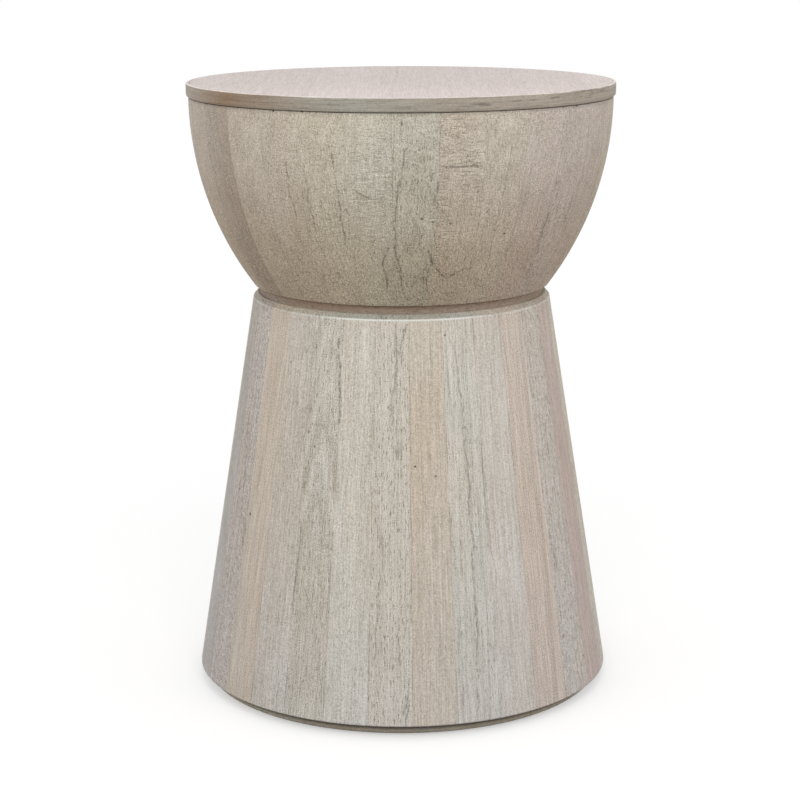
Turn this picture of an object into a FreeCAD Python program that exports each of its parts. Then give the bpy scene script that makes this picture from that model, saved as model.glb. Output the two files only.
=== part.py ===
# Drum side table: a coopered cone on a low plinth, a short neck and a coopered bowl under a lift-off lid.
# Millimetres, +Z up, origin on the floor under the middle of the table. The front faces -Y.
import FreeCAD
import Part
import Sketcher
import math
import os

Vector = FreeCAD.Vector
doc = FreeCAD.newDocument("drum_side_table")

# Driving sizes in millimetres. A name that ends in turn is in degrees, one that ends in count is a number.
driving_sizes = {
    "pad_thickness": 1,
    "pad_radius": 12,
    "pad_edge_margin": 16.5,
    "pad_count": 4,
    "plinth_thickness": 10,
    "plinth_setback": 7.5,
    "plinth_edge_round": 5.5,
    "cone_height": 357.2,
    "cone_foot_radius": 193.5,
    "cone_top_radius": 136.5,
    "cone_wall": 27,
    "cone_bevel_width": 3.4,
    "cone_bevel_height": 5.1,
    "cone_foot_round": 2.5,
    "cone_stave_count": 30,
    "cone_joint_turn": 2.6,
    "foot_former_thickness": 18,
    "top_former_thickness": 22,
    "neck_height": 7.9,
    "neck_setback": 2.4,
    "bowl_height": 171.9,
    "bowl_foot_radius": 136.1,
    "bowl_rim_radius": 193,
    "bowl_wall": 18,
    "bowl_foot_round": 1.2,
    "bowl_rim_round": 1.5,
    "bowl_stave_count": 30,
    "bowl_joint_turn": 9.6,
    "bowl_floor_thickness": 15,
    "lid_thickness": 12,
    "lid_overhang": 2,
    "lid_band_thickness": 3,
    "lid_top_round": 1,
    "lid_under_round": 2.5,
    "batten_width": 40,
    "batten_thickness": 12,
    "batten_spread": 150,
    "batten_play": 4,
    "batten_screw_diameter": 3.5,
    "batten_screw_head_diameter": 7,
    "batten_screw_length": 20,
    "neck_screw_diameter": 6,
    "neck_screw_head_diameter": 12,
    "neck_screw_length": 40,
    "neck_screw_edge_margin": 39.4,
    "neck_screw_count": 6,
    "plinth_screw_diameter": 5,
    "plinth_screw_head_diameter": 10,
    "plinth_screw_length": 25,
    "plinth_screw_edge_margin": 36.5,
    "plinth_screw_count": 6,
    "screw_clearance": 0.2,
    "glue_gap": 0.3,
}
sheet = doc.addObject("Spreadsheet::Sheet", "Sizes")
for row, (name, value) in enumerate(driving_sizes.items(), start=1):
    sheet.set(f"A{row}", name)
    sheet.set(f"B{row}", str(value))
    sheet.setAlias(f"B{row}", name)
doc.recompute()

# Levels, from the floor up.
plinth_base = "Sizes.pad_thickness"
cone_base = f"{plinth_base} + Sizes.plinth_thickness"
neck_base = f"{cone_base} + Sizes.cone_height"
bowl_base = f"{neck_base} + Sizes.neck_height"
rim_level = f"{bowl_base} + Sizes.bowl_height"

# The cone leans in evenly. Its wall is measured level, at the middle of a stave.
cone_taper = "(Sizes.cone_foot_radius - Sizes.cone_top_radius) / Sizes.cone_height"
cone_bore_foot = "Sizes.cone_foot_radius - Sizes.cone_wall"
cone_bore_top = "Sizes.cone_top_radius - Sizes.cone_wall"

# The plinth is set back under the cone, and the neck from the bevel round the cone's top.
# The pads and screws keep in from the edges of what they hold.
plinth_radius = "(Sizes.cone_foot_radius - Sizes.plinth_setback)"
pad_circle = f"({plinth_radius} - Sizes.pad_edge_margin - Sizes.pad_radius)"
plinth_screw_circle = f"({cone_bore_foot} - Sizes.plinth_screw_edge_margin)"
neck_radius = "(Sizes.cone_top_radius - Sizes.cone_bevel_width - Sizes.neck_setback)"
neck_screw_circle = f"({cone_bore_top} - Sizes.neck_screw_edge_margin)"

# The bowl's outside is one arc, upright at the rim, through the rim and the bowl's foot.
bowl_flare = "(Sizes.bowl_rim_radius - Sizes.bowl_foot_radius)"
bowl_arc_radius = f"({bowl_flare} ^ 2 + Sizes.bowl_height ^ 2) / (2 * {bowl_flare})"
bowl_mouth_radius = "(Sizes.bowl_rim_radius - Sizes.bowl_wall)"

# The lid overhangs the bowl. Its boards fill the bent band, and its battens drop into the bowl's mouth.
lid_radius = "(Sizes.bowl_rim_radius + Sizes.lid_overhang)"
core_radius = f"({lid_radius} - Sizes.lid_band_thickness - Sizes.glue_gap)"
batten_radius = f"({bowl_mouth_radius} - Sizes.batten_play)"
batten_reach = f"sqrt({batten_radius} ^ 2 - (Sizes.batten_spread / 2) ^ 2)"
board_joint_shares = [-0.725, -0.41, -0.095, 0.22, 0.535, 0.85]
batten_screw_shares = [-0.8, -0.4, 0, 0.4, 0.8]

pieces = []


def measure(expression):
    return float(sheet.evalExpression(expression))


def keep(piece, label):
    piece.Label = label
    pieces.append(piece)
    return piece


def place(piece, height, across="0", along="0"):
    piece.setExpression("Placement.Base.x", across)
    piece.setExpression("Placement.Base.y", along)
    piece.setExpression("Placement.Base.z", height)


def turn_about_z(piece, angle):
    piece.Placement = FreeCAD.Placement(Vector(), FreeCAD.Rotation(Vector(0, 0, 1), 1))
    piece.setExpression("Placement.Rotation.Angle", angle)


def upright_sketch(body, name):
    sketch = body.newObject("Sketcher::SketchObject", name)
    plane = [item for item in body.Origin.OriginFeatures if item.Role == "XZ_Plane"][0]
    sketch.AttachmentSupport = [(plane, "")]
    sketch.MapMode = "FlatFace"
    return sketch


def pin_point(sketch, edge, end, out, up):
    # Ties one end of an edge to the sheet: its distance out from the axis and its height.
    for kind, axis, expression in (("DistanceX", -2, out), ("DistanceY", -1, up)):
        if expression == "0":
            sketch.addConstraint(Sketcher.Constraint("PointOnObject", edge, end, axis))
            continue
        value = measure(expression)
        index = sketch.addConstraint(Sketcher.Constraint(kind, -1, 1, edge, end, value))
        sketch.setExpression(f"Constraints[{index}]", expression)


def straight_outline(body, name, corners):
    # A closed outline of straight edges, each corner pinned to the sheet.
    sketch = upright_sketch(body, name)
    points = [Vector(measure(out), measure(up), 0) for out, up in corners]
    for index, start in enumerate(points):
        finish = points[(index + 1) % len(points)]
        sketch.addGeometry(Part.LineSegment(start, finish), False)
    for index, (out, up) in enumerate(corners):
        following = (index + 1) % len(corners)
        sketch.addConstraint(Sketcher.Constraint("Coincident", index, 2, following, 1))
        pin_point(sketch, index, 1, out, up)
    return sketch


def spin(body, sketch, angle="360"):
    spun = body.newObject("PartDesign::Revolution", sketch.Name + "_spun")
    spun.Profile = sketch
    spun.ReferenceAxis = (sketch, ["V_Axis"])
    spun.Midplane = True
    spun.setExpression("Angle", angle)
    doc.recompute()
    return spun


def round_rims(body, base, radius, rims):
    # Rounds the circular edges that lie at the given distances from the axis and heights.
    wanted = [(measure(out), measure(up)) for out, up in rims]
    near = measure(radius) / 10
    names = []
    for index, edge in enumerate(base.Shape.Edges, start=1):
        middle = edge.valueAt((edge.FirstParameter + edge.LastParameter) / 2)
        out = math.hypot(middle.x, middle.y)
        if any(abs(out - w[0]) < near and abs(middle.z - w[1]) < near for w in wanted):
            names.append(f"Edge{index}")
    rounded = body.newObject("PartDesign::Fillet", base.Name + "_rounded")
    rounded.Base = (base, names)
    rounded.setExpression("Radius", radius)
    doc.recompute()
    return rounded


def group(solids, label):
    compound = doc.addObject("Part::Compound", label)
    compound.Links = solids
    return compound


def common(first, second, label):
    shared = doc.addObject("Part::Common", label)
    shared.Base = first
    shared.Tool = second
    return shared


def drill(solid, holes, label):
    drilled = doc.addObject("Part::Cut", label)
    drilled.Base = solid
    drilled.Tool = holes
    return drilled


def cylinder(name, radius, height, level, across="0", along="0"):
    solid = doc.addObject("Part::Cylinder", name)
    solid.setExpression("Radius", radius)
    solid.setExpression("Height", height)
    place(solid, level, across, along)
    return solid


def ring_places(count, circle):
    turns = [f"{index} * 360 deg / {count}" for index in range(round(measure(count)))]
    return [(f"{circle} * cos({turn})", f"{circle} * sin({turn})") for turn in turns]


def countersunk_form(name, screw, spare):
    # A countersunk wood screw, head face at the bottom and point up, or its hole when spare is set.
    shank = f"Sizes.{screw}_diameter / 2"
    head = f"Sizes.{screw}_head_diameter / 2"
    length = f"Sizes.{screw}_length"
    body = doc.addObject("PartDesign::Body", name)
    corners = [
        ("0", "0"),
        (f"{head} + {spare}", "0"),
        (f"{shank} + {spare}", f"{head} - {shank}"),
        (f"{shank} + {spare}", f"{length} + {spare} - Sizes.{screw}_diameter"),
        ("0", f"{length} + {spare}"),
    ]
    spin(body, straight_outline(body, name + "_outline", corners))
    return body


def countersunk_set(label, screw, level, places, points_down=False):
    # The screws as one group of solids, and the holes that they turn into.
    screws, holes = [], []
    flip = FreeCAD.Rotation(Vector(1, 0, 0), 180 if points_down else 0)
    for number, (across, along) in enumerate(places, start=1):
        for solids, use, spare in ((screws, "screw", "0"), (holes, "hole", "Sizes.screw_clearance")):
            form = countersunk_form(f"{label}_{use}_{number}", screw, spare)
            form.Placement = FreeCAD.Placement(Vector(), flip)
            place(form, level, across, along)
            solids.append(form)
    keep(group(screws, label), label)
    return group(holes, label + "_holes")


def cone_stave(name, number):
    # Flat inside as planed, turned round outside and bevelled at the top, with mitred glue faces.
    body = doc.addObject("PartDesign::Body", name)
    step = "360 / Sizes.cone_stave_count"
    blank = straight_outline(body, name + "_outline", [
        (cone_bore_foot, "0"),
        ("Sizes.cone_foot_radius", "0"),
        (f"Sizes.cone_top_radius + {cone_taper} * Sizes.cone_bevel_height",
         "Sizes.cone_height - Sizes.cone_bevel_height"),
        ("Sizes.cone_top_radius - Sizes.cone_bevel_width", "Sizes.cone_height"),
        (cone_bore_top, "Sizes.cone_height"),
    ])
    spun = spin(body, blank, step)
    round_rims(body, spun, "Sizes.cone_foot_round", [("Sizes.cone_foot_radius", "0")])
    hollow = straight_outline(body, name + "_hollow", [
        (f"{cone_bore_foot} - Sizes.cone_wall", "0"),
        (cone_bore_foot, "0"),
        (cone_bore_top, "Sizes.cone_height"),
        (f"{cone_bore_top} - Sizes.cone_wall", "Sizes.cone_height"),
    ])
    planed = body.newObject("PartDesign::Pocket", name + "_planed")
    planed.Profile = hollow
    planed.Type = "ThroughAll"
    planed.Midplane = True
    turn_about_z(body, f"Sizes.cone_joint_turn - 90 + ({number} - 0.5) * {step}")
    place(body, cone_base)
    return body


def bowl_stave(name, number):
    # Bent and turned to the bowl's arc inside and outside, with mitred glue faces.
    body = doc.addObject("PartDesign::Body", name)
    step = "360 / Sizes.bowl_stave_count"
    sketch = upright_sketch(body, name + "_outline")
    rim, foot, height = (measure(f"Sizes.bowl_{size}") for size in ("rim_radius", "foot_radius", "height"))
    wall, arc_radius = measure("Sizes.bowl_wall"), measure(bowl_arc_radius)
    centre = Vector(rim - arc_radius, height, 0)
    inner_radius = arc_radius - wall
    inner_foot = centre.x + math.sqrt(inner_radius ** 2 - height ** 2)
    outer_circle = Part.Circle(centre, Vector(0, 0, 1), arc_radius)
    inner_circle = Part.Circle(centre, Vector(0, 0, 1), inner_radius)
    outer_start = -math.asin(height / arc_radius)
    inner_start = -math.asin(height / inner_radius)
    base = sketch.addGeometry(Part.LineSegment(Vector(inner_foot, 0, 0), Vector(foot, 0, 0)), False)
    outer = sketch.addGeometry(Part.ArcOfCircle(outer_circle, outer_start, 0), False)
    top = sketch.addGeometry(Part.LineSegment(Vector(rim, height, 0), Vector(rim - wall, height, 0)), False)
    inner = sketch.addGeometry(Part.ArcOfCircle(inner_circle, inner_start, 0), False)
    for first, first_end, second, second_end in (
        (base, 2, outer, 1),
        (outer, 2, top, 1),
        (top, 2, inner, 2),
        (inner, 1, base, 1),
        (outer, 3, inner, 3),
    ):
        sketch.addConstraint(Sketcher.Constraint("Coincident", first, first_end, second, second_end))
    sketch.addConstraint(Sketcher.Constraint("Horizontal", top))
    sketch.addConstraint(Sketcher.Constraint("Horizontal", outer, 3, outer, 2))
    sketch.addConstraint(Sketcher.Constraint("PointOnObject", base, 1, -1))
    pin_point(sketch, base, 2, "Sizes.bowl_foot_radius", "0")
    pin_point(sketch, top, 1, "Sizes.bowl_rim_radius", "Sizes.bowl_height")
    thickness = sketch.addConstraint(Sketcher.Constraint("DistanceX", top, 2, top, 1, wall))
    sketch.setExpression(f"Constraints[{thickness}]", "Sizes.bowl_wall")
    spun = spin(body, sketch, step)
    foot_rim = [("Sizes.bowl_foot_radius", "0")]
    rounded = round_rims(body, spun, "Sizes.bowl_foot_round", foot_rim)
    mouth_rim = [(bowl_mouth_radius, "Sizes.bowl_height")]
    round_rims(body, rounded, "Sizes.bowl_rim_round", mouth_rim)
    turn_about_z(body, f"Sizes.bowl_joint_turn - 90 + ({number} - 0.5) * {step}")
    place(body, bowl_base)
    return body


def bowl_floor():
    # A disc whose edge follows the inside of the bowl's wall.
    body = doc.addObject("PartDesign::Body", "bowl_floor_disc")
    sketch = upright_sketch(body, "bowl_floor_outline")
    thickness = measure("Sizes.bowl_floor_thickness")
    height = measure("Sizes.bowl_height")
    edge_radius = f"{bowl_arc_radius} - Sizes.bowl_wall - Sizes.glue_gap"
    radius = measure(edge_radius)
    centre = Vector(measure(f"Sizes.bowl_rim_radius - {bowl_arc_radius}"), height, 0)
    under = centre.x + math.sqrt(radius ** 2 - height ** 2)
    over = centre.x + math.sqrt(radius ** 2 - (height - thickness) ** 2)
    low, high = Vector(), Vector(0, thickness, 0)
    base = sketch.addGeometry(Part.LineSegment(low, Vector(under, 0, 0)), False)
    circle = Part.Circle(centre, Vector(0, 0, 1), radius)
    start, finish = -math.asin(height / radius), -math.asin((height - thickness) / radius)
    edge = sketch.addGeometry(Part.ArcOfCircle(circle, start, finish), False)
    top = sketch.addGeometry(Part.LineSegment(Vector(over, thickness, 0), high), False)
    middle = sketch.addGeometry(Part.LineSegment(high, low), False)
    for first, first_end, second, second_end in (
        (base, 2, edge, 1),
        (edge, 2, top, 1),
        (top, 2, middle, 1),
        (middle, 2, base, 1),
    ):
        sketch.addConstraint(Sketcher.Constraint("Coincident", first, first_end, second, second_end))
    pin_point(sketch, base, 1, "0", "0")
    sketch.addConstraint(Sketcher.Constraint("Horizontal", base))
    sketch.addConstraint(Sketcher.Constraint("Horizontal", top))
    pin_point(sketch, middle, 1, "0", "Sizes.bowl_floor_thickness")
    for kind, first, second, expression in (
        ("DistanceX", (edge, 3), (-1, 1), f"{bowl_arc_radius} - Sizes.bowl_rim_radius"),
        ("DistanceY", (-1, 1), (edge, 3), "Sizes.bowl_height"),
    ):
        value = measure(expression)
        index = sketch.addConstraint(Sketcher.Constraint(kind, *first, *second, value))
        sketch.setExpression(f"Constraints[{index}]", expression)
    index = sketch.addConstraint(Sketcher.Constraint("Radius", edge, radius))
    sketch.setExpression(f"Constraints[{index}]", edge_radius)
    spin(body, sketch)
    place(body, bowl_base)
    return body


def plinth_blank():
    body = doc.addObject("PartDesign::Body", "plinth_blank")
    disc = spin(body, straight_outline(body, "plinth_outline", [
        ("0", "0"),
        (plinth_radius, "0"),
        (plinth_radius, "Sizes.plinth_thickness"),
        ("0", "Sizes.plinth_thickness"),
    ]))
    round_rims(body, disc, "Sizes.plinth_edge_round", [(plinth_radius, "0")])
    place(body, plinth_base)
    return body


def cone_former(name, thickness, low_radius, high_radius, level):
    # A disc with a leaning edge, glued inside the staves.
    disc = doc.addObject("Part::Cone", name)
    disc.setExpression("Radius1", f"{low_radius} - Sizes.glue_gap")
    disc.setExpression("Radius2", f"{high_radius} - Sizes.glue_gap")
    disc.setExpression("Height", thickness)
    place(disc, level)
    return disc


def lid_band():
    body = doc.addObject("PartDesign::Body", "lid_edge_band")
    bore = f"{lid_radius} - Sizes.lid_band_thickness"
    ring = spin(body, straight_outline(body, "lid_band_outline", [
        (bore, "0"),
        (lid_radius, "0"),
        (lid_radius, "Sizes.lid_thickness"),
        (bore, "Sizes.lid_thickness"),
    ]))
    under = round_rims(body, ring, "Sizes.lid_under_round", [(lid_radius, "0")])
    round_rims(body, under, "Sizes.lid_top_round", [(lid_radius, "Sizes.lid_thickness")])
    place(body, rim_level)
    return body


def bar_in_circle(name, bar, radius, level):
    # A straight board with its ends cut to a circle. The bar gives its start and size across and along.
    across, along, width, depth, thickness = bar
    board = doc.addObject("Part::Box", name + "_board")
    board.setExpression("Length", width)
    board.setExpression("Width", depth)
    board.setExpression("Height", thickness)
    place(board, level, across, along)
    circle = cylinder(name + "_circle", radius, thickness, level)
    return common(board, circle, name + "_sawn")


# Plinth and pads
pads = [
    cylinder(f"pad_{number}", "Sizes.pad_radius", "Sizes.pad_thickness", "0", across, along)
    for number, (across, along) in enumerate(ring_places("Sizes.pad_count", pad_circle), start=1)
]
keep(group(pads, "floor_pads"), "floor_pads")
plinth_screw_places = ring_places("Sizes.plinth_screw_count", plinth_screw_circle)
plinth_holes = countersunk_set("plinth_screws", "plinth_screw", plinth_base, plinth_screw_places)
keep(drill(plinth_blank(), plinth_holes, "plinth_disc"), "plinth_disc")

# Cone
for number in range(1, round(measure("Sizes.cone_stave_count")) + 1):
    stave_name = f"cone_stave_{number:02d}"
    keep(cone_stave(stave_name, number), stave_name)
foot_former = cone_former(
    "foot_former", "Sizes.foot_former_thickness", cone_bore_foot,
    f"{cone_bore_foot} - {cone_taper} * Sizes.foot_former_thickness", cone_base)
keep(drill(foot_former, plinth_holes, "cone_foot_former"), "cone_foot_former")

# Neck, and the screws from the bowl's floor down into the cone
neck_screw_places = ring_places("Sizes.neck_screw_count", neck_screw_circle)
floor_level = f"{bowl_base} + Sizes.bowl_floor_thickness"
neck_holes = countersunk_set("neck_screws", "neck_screw", floor_level, neck_screw_places, points_down=True)
top_former = cone_former(
    "top_former", "Sizes.top_former_thickness",
    f"{cone_bore_top} + {cone_taper} * Sizes.top_former_thickness", cone_bore_top,
    f"{neck_base} - Sizes.top_former_thickness")
keep(drill(top_former, neck_holes, "cone_top_former"), "cone_top_former")
neck_blank = cylinder("neck_blank", neck_radius, "Sizes.neck_height", neck_base)
keep(drill(neck_blank, neck_holes, "neck_collar"), "neck_collar")

# Bowl: the staves are glued up in panels of three
staves_per_panel = 3
keep(drill(bowl_floor(), neck_holes, "bowl_floor"), "bowl_floor")
bowl_staves = [
    bowl_stave(f"bowl_stave_{number:02d}", number)
    for number in range(1, round(measure("Sizes.bowl_stave_count")) + 1)
]
for first in range(0, len(bowl_staves), staves_per_panel):
    panel_name = f"bowl_panel_{first // staves_per_panel + 1:02d}"
    keep(group(bowl_staves[first:first + staves_per_panel], panel_name), panel_name)

# Lid: boards that run front to back in a bent band, on two battens that drop into the bowl's mouth
keep(lid_band(), "lid_edge_band")
batten_level = f"{rim_level} - Sizes.batten_thickness"
batten_middles = {"front": "-Sizes.batten_spread / 2", "rear": "Sizes.batten_spread / 2"}
batten_screw_places = [
    (f"{share} * {batten_reach}", along)
    for along in batten_middles.values()
    for share in batten_screw_shares
]
batten_holes = countersunk_set("lid_batten_screws", "batten_screw", batten_level, batten_screw_places)
joint_shares = [-1] + board_joint_shares + [1]
for number, (left, right) in enumerate(zip(joint_shares, joint_shares[1:]), start=1):
    start, width = f"{left} * {core_radius}", f"({right} - ({left})) * {core_radius}"
    bar = (start, f"-{core_radius}", width, f"2 * {core_radius}", "Sizes.lid_thickness")
    board = bar_in_circle(f"lid_{number}", bar, core_radius, rim_level)
    keep(drill(board, batten_holes, f"lid_board_{number}"), f"lid_board_{number}")
for side, middle in batten_middles.items():
    along = f"{middle} - Sizes.batten_width / 2"
    bar = (f"-{batten_radius}", along, f"2 * {batten_radius}", "Sizes.batten_width", "Sizes.batten_thickness")
    batten = bar_in_circle(f"{side}_batten", bar, batten_radius, batten_level)
    keep(drill(batten, batten_holes, f"lid_batten_{side}"), f"lid_batten_{side}")

doc.recompute()
for item in doc.Objects:
    if "Invalid" in item.State or "Error" in item.State:
        raise RuntimeError(f"{item.Label} failed: {item.State}")
os.makedirs("parts", exist_ok=True)
for piece in pieces:
    if piece.Shape.isNull() or not piece.Shape.isValid():
        raise RuntimeError(f"{piece.Label} has no valid shape")
    piece.Shape.exportStep(f"parts/{piece.Label}.step")
print(len(pieces), "pieces written")
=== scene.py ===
import math
import random

import bmesh
import bpy
from mathutils import Color, Matrix, Vector


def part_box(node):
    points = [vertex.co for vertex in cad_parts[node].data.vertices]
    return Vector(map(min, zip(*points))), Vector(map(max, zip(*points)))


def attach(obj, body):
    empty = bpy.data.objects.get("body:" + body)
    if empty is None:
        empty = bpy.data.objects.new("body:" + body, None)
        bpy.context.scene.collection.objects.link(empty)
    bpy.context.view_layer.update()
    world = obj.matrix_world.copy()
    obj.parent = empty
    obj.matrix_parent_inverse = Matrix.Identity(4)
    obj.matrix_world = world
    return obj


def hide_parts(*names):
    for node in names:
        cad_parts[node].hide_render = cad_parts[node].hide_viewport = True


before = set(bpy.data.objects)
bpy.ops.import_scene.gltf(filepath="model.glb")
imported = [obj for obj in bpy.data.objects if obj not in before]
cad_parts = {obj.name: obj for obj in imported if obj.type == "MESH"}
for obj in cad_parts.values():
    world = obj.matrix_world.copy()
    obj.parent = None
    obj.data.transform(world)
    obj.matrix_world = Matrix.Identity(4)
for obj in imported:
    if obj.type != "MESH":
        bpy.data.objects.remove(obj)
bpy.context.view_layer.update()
scene = bpy.context.scene
scene.view_settings.view_transform = "Standard"
mm = 0.001
print("frame loaded:", len(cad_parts), "nodes")


# node and colour helpers: nodes go into the tree that was started last

build = {}


def startTree(tree):
    tree.nodes.clear()
    build["tree"] = tree
    return tree


def paint(red, green, blue):  # screen colour, 0 to 255
    return (*Color((red / 255, green / 255, blue / 255)).from_srgb_to_scene_linear(), 1.0)


def put(kind, inputs={}, **settings):
    tree = build["tree"]
    node = tree.nodes.new(kind)
    for name, value in settings.items():
        setattr(node, name, value)
    for socket, value in inputs.items():
        if isinstance(value, bpy.types.NodeSocket):
            tree.links.new(value, node.inputs[socket])
        else:
            node.inputs[socket].default_value = value
    return node


def made(kind, inputs={}, **settings):  # a node's first output
    return put(kind, inputs, **settings).outputs[0]


def sums(operation, *values):
    return made("ShaderNodeMath", dict(enumerate(values)), operation=operation)


def chained(operation):  # the same sum through any number of values
    def run(*values):
        result = values[0]
        for value in values[1:]:
            result = sums(operation, result, value)
        return result
    return run


total, product, less, most = (chained(word) for word in ("ADD", "MULTIPLY", "SUBTRACT", "MAXIMUM"))


def vector(operation, *values):
    return made("ShaderNodeVectorMath", dict(enumerate(values)), operation=operation)


def scaled(value, factor):
    return made("ShaderNodeVectorMath", {0: value, "Scale": factor}, operation="SCALE")


def measure(operation, *values):  # a number read from vectors
    return put("ShaderNodeVectorMath", dict(enumerate(values)), operation=operation).outputs["Value"]


def swing(value, amount):  # a 0 to 1 pattern as a swing about nothing
    return product(less(value, 0.5), amount)


def fade(value, low, high, start=0.0, end=1.0):
    limits = {"Value": value, "From Min": low, "From Max": high, "To Min": start, "To Max": end}
    return made("ShaderNodeMapRange", limits, interpolation_type="SMOOTHSTEP")


def noise(place, size, detail=2.0, rough=0.5, twist=0.0):  # size per metre
    values = {"Vector": vector("MULTIPLY", place, size), "Scale": 1.0,
              "Detail": detail, "Roughness": rough, "Distortion": twist}
    return made("ShaderNodeTexNoise", values)


def levels(place, pattern, start=0.0, end=1.0, detail=2.0):  # a noise that comes in between two of its levels
    size, low, high = pattern
    return fade(noise(place, size, detail), low, high, start, end)


def mixPaint(amount, first, second, mode="MIX"):
    inputs = {0: amount, 6: first, 7: second}
    return put("ShaderNodeMix", inputs, data_type="RGBA", blend_type=mode).outputs[2]


def split(value):
    return put("ShaderNodeSeparateXYZ", {0: value}).outputs[:3]


def joined(**shares):
    return made("ShaderNodeCombineXYZ", shares)


def attribute(name, output):
    return put("ShaderNodeAttribute", attribute_name=name).outputs[output]


def objectPlace():
    return put("ShaderNodeTexCoord").outputs["Object"]


def seenRays():  # what the camera sees, also in metal and through glass
    path = put("ShaderNodeLightPath").outputs
    return most(path["Is Camera Ray"], path["Is Glossy Ray"], path["Is Transmission Ray"])


def blankMaterial(name):
    material = bpy.data.materials.new(name)
    material.use_nodes = True
    startTree(material.node_tree)
    return material


def finishMaterial(colour, roughness, height, specular=0.3, metallic=0.0):
    bump = made("ShaderNodeBump", {"Height": height, "Distance": 1.0, "Strength": 1.0})
    values = {"Base Color": colour, "Roughness": roughness, "Normal": bump,
              "Specular IOR Level": specular, "Metallic": metallic}
    surface = made("ShaderNodeBsdfPrincipled", values)
    put("ShaderNodeOutputMaterial", {"Surface": surface})


# object helpers

def linked(name, data):
    piece = bpy.data.objects.new(name, data)
    scene.collection.objects.link(piece)
    return piece


def newPiece(name, shape):
    bmesh.ops.recalc_face_normals(shape, faces=shape.faces)
    mesh = bpy.data.meshes.new(name)
    shape.to_mesh(mesh)
    shape.free()
    return linked(name, mesh)


def ringOf(shape, radius, height, steps):
    turns = [math.tau * k / steps for k in range(steps)]
    return [shape.verts.new((radius * math.cos(turn), radius * math.sin(turn), height)) for turn in turns]


def joinRings(shape, rings):
    for low, high in zip(rings, rings[1:]):
        for k in range(len(low)):
            after = (k + 1) % len(low)
            shape.faces.new((low[k], low[after], high[after], high[k]))


# camera, at the photograph's viewing angle

view = {
    "place": (-1.73 * mm, -1.9418, 0.7029),
    "lookDown": 0.2233,  # radians
    "lean": -0.0032,
    "lens": 95.24,  # millimetres, as the sensor's width
    "sensor": 36,
}
cameraData = bpy.data.cameras.new("camera")
cameraData.lens = view["lens"]
cameraData.sensor_width = view["sensor"]
camera = linked("camera", cameraData)
tip = Matrix.Rotation(math.pi / 2 - view["lookDown"], 4, "X")
camera.matrix_world = Matrix.Translation(view["place"]) @ tip @ Matrix.Rotation(view["lean"], 4, "Z")
scene.camera = camera


# limed wood: each stave is a cut from its own log, with its own tint, heart and figure

limed = {
    "bare": (0.93, 0.86, 0.77),  # what the tint keeps where the lime is thin
    "bareShare": 0.40,
    "barePatch": (0.36, 0.66),  # levels of the patches between which the lime covers it
    "swings": (0.95, 1.0, 1.10),  # light specks are whiter lime, dark ones browner wood
    "thinLimeAndShadeSpan": (-1.0, 0.0),  # heights between which the lime thins out downwards, also used as painted shade
    "thinSpeck": 0.0,  # how much more the specks show there
    "thickSpan": (1.0, 2.0),  # and between which it thickens upwards
    "thick": paint(224, 216, 203),
    "thickShare": 0.5,
    "thickAside": 0.3,  # what is left of it at the sides
    "cool": (0.98, 1.0, 1.05),  # thicker, cooler lime
    "coolSpan": (-1.0, 0.0),
    "vein": paint(92, 80, 68),
    "pit": paint(62, 52, 43),
    "front": (-0.132, -0.106),  # Y between which the front passes into the sides
    "arris": None,  # height of an edge where the lime stands thick and a painted highlight runs
    "arrisLimeAndHighlight": paint(250, 250, 243),
    "arrisFade": (0.3 * mm, 1.2 * mm),
    "frontHighlight": 0.8,
    "sideWear": (0.08, 0.36),
    "bevel": (0.60, 0.63, 0.62),  # painted shade: what the tint keeps on the bevel above that edge, in front, under the bowl's overhang
    "bevelShadeAside": (0.76, 0.74, 0.70),  # and at the sides
    "bevelShadeFade": (0.2 * mm, 1.0 * mm),
    "paintedShades": (),  # painted shade: heights between which a wall darkens upwards, and what it keeps there
    "paintedShadeDepth": (-3.0 * mm, -1.5 * mm),  # the painted shade stays off the rim's top and the inside
    "apart": (0.37, 0.71, 1.93),  # from one stave's stretch of the log to the next
    "ringsPerMetre": 330,
    "swayReach": 0.030,  # slow wander of the rings, in metres
    "waverReach": 0.005,
    "wanderReach": 0.008,  # and of the drawn streaks
    "wander": 45,
    "streakLeast": 0.25,  # what a streak keeps where it is broken
    "streakBack": (-0.02, 0.0),  # Y between which the streaks end
    "streakCore": 0.3,  # share of the half width that is full
    "pitCore": 0.4,
    "veinWidth": 0.016,
    "jointWidth": 0.5 * mm,
    "poreShare": 0.35,  # pores in a stave without veins, and more with them
    "poreGain": 1.1,
    # pattern sizes per metre: through, across and along the grain
    "sway": (9, 9, 1.7),
    "waver": (70, 70, 9),
    "fibre": (760, 760, 24),
    "dash": (900, 900, 320),
    "speck": (950, 950, 900),
    "ripple": (110, 110, 520),
    "mottle": (60, 60, 38),
    "patch": (16, 16, 4),
    "veinLine": (45, 80, 2.2),
    # sizes, and the levels between which the pattern comes in
    "pore": ((900, 900, 150), 0.56, 0.70),
    "figurePatch": ((22, 22, 9), 0.40, 0.62),
    "veinDash": ((260, 260, 75), 0.40, 0.60),
    "veinPatch": ((25, 25, 4.5), 0.46, 0.60),
    "streakBreak": ((420, 420, 230), 0.38, 0.58),
    "jointPatch": ((40, 40, 28), 0.40, 0.62),
    "wear": ((24, 24, 24), 0.34, 0.60),
    # how far each pattern moves the colour, the surface and the gloss
    "ringTone": 0.50,
    "fibreTone": 0.80,
    "dashTone": 0.20,
    "speckTone": 1.35,
    "speckFollows": 0.0,  # how far the specks grow with a stave's rings
    "usualRings": 0.75,
    "rippleTone": 0.50,
    "mottleTone": 0.08,
    "poreTone": 0.34,
    "veinTone": 0.60,
    "jointTone": 0.35,
    "ringHeight": 0.12 * mm,
    "dashHeight": 0.10 * mm,
    "speckHeight": 0.45 * mm,
    "rippleHeight": 0.55 * mm,
    "veinHeight": 0.20 * mm,
    "roughness": 0.66,
    "patchRough": 0.25,
    "fibreRough": 0.15,
}


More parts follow.
